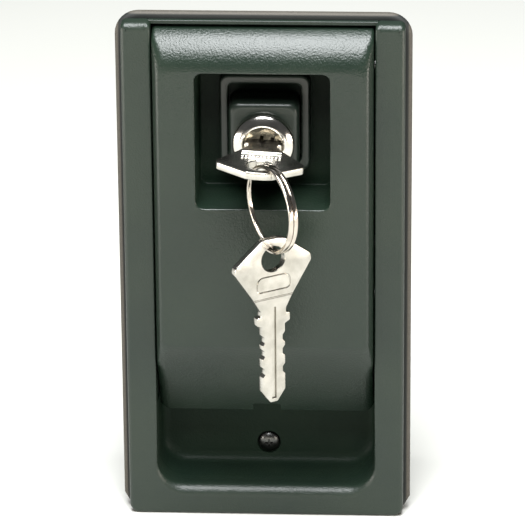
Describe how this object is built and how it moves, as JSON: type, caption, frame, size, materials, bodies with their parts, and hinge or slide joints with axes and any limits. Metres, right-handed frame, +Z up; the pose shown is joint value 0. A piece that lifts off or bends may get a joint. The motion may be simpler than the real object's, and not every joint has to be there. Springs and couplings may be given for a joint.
{
  "type": "lockable wall-hung bait station",
  "caption": "Wall box for rodent bait with a top-hinged front door, finger-pull pocket, cam lock in a recessed well, and keys on a split ring.",
  "frame": {"origin": "centre of the width on the wall face, level with the middle of the box's height", "axes": "+Z up, +Y back into the wall, +X to the right of a person who faces the box"},
  "size_m": [0.088, 0.083, 0.1608],
  "materials": {
    "housing_plastic": "moulded, fine grain",
    "frame_plastic": "moulded, fine grain",
    "door_plastic": "moulded, fine pebble grain",
    "rim_rubber": "soft, slightly worn",
    "zinc_steel": "zinc plated",
    "chrome": "polished",
    "brass_plug": "nickel-washed, worn",
    "nickel": "nickel plated, bright",
    "bait_wax": "extruded wax, grainy"
  },
  "bodies": {
    "housing": {"rear_housing": "housing_plastic", "rim_gasket": "rim_rubber", "front_frame": "frame_plastic", "frame_screws": "zinc_steel", "pocket_screw": "zinc_steel", "hinge_pin_left": "zinc_steel", "hinge_pin_right": "zinc_steel", "strike_bar": "zinc_steel", "strike_screws": "zinc_steel", "baffle_shelf": "frame_plastic", "bait_tray": "frame_plastic", "bait_rod_lower": "zinc_steel", "bait_rod_upper": "zinc_steel", "bait_block_1": "bait_wax", "bait_block_2": "bait_wax", "bait_block_3": "bait_wax", "bait_block_4": "bait_wax", "door_bumpers": "rim_rubber"},
    "door": {"door_shell": "door_plastic", "lock_surround": "door_plastic", "lock_body": "chrome", "lock_washer": "zinc_steel", "lock_nut": "zinc_steel"},
    "plug": {"lock_plug": "brass_plug", "cam": "zinc_steel", "cam_screw": "zinc_steel"},
    "key": {"inserted_key": "nickel"},
    "ring": {"split_ring": "nickel"},
    "spare": {"spare_key": "nickel"}
  },
  "joints": [
    {"name": "door_hinge", "type": "hinge", "parent": "housing", "child": "door", "pos_m": [0, -0.0371, 0.061], "axis": [-1, 0, 0], "range_deg": [0, 90]},
    {"name": "lock_turn", "type": "hinge", "parent": "door", "child": "plug", "pos_m": [0, -0.05, 0.0381], "axis": [0, 1, 0], "range_deg": [0, 86.5]},
    {"name": "key_slide", "type": "slide", "parent": "plug", "child": "key", "axis": [0, -1, 0], "range_m": [0, 0.03]},
    {"name": "ring_swing", "type": "hinge", "parent": "key", "child": "ring", "pos_m": [0.00357, -0.071, 0.0381], "axis": [0.5446, -0.8387, 0], "range_deg": [-10, 10]},
    {"name": "spare_key_swing", "type": "hinge", "parent": "ring", "child": "spare", "pos_m": [0.00357, -0.071, 0.01495], "axis": [0.5446, -0.8387, 0], "range_deg": [-20, 20]}
  ]
}
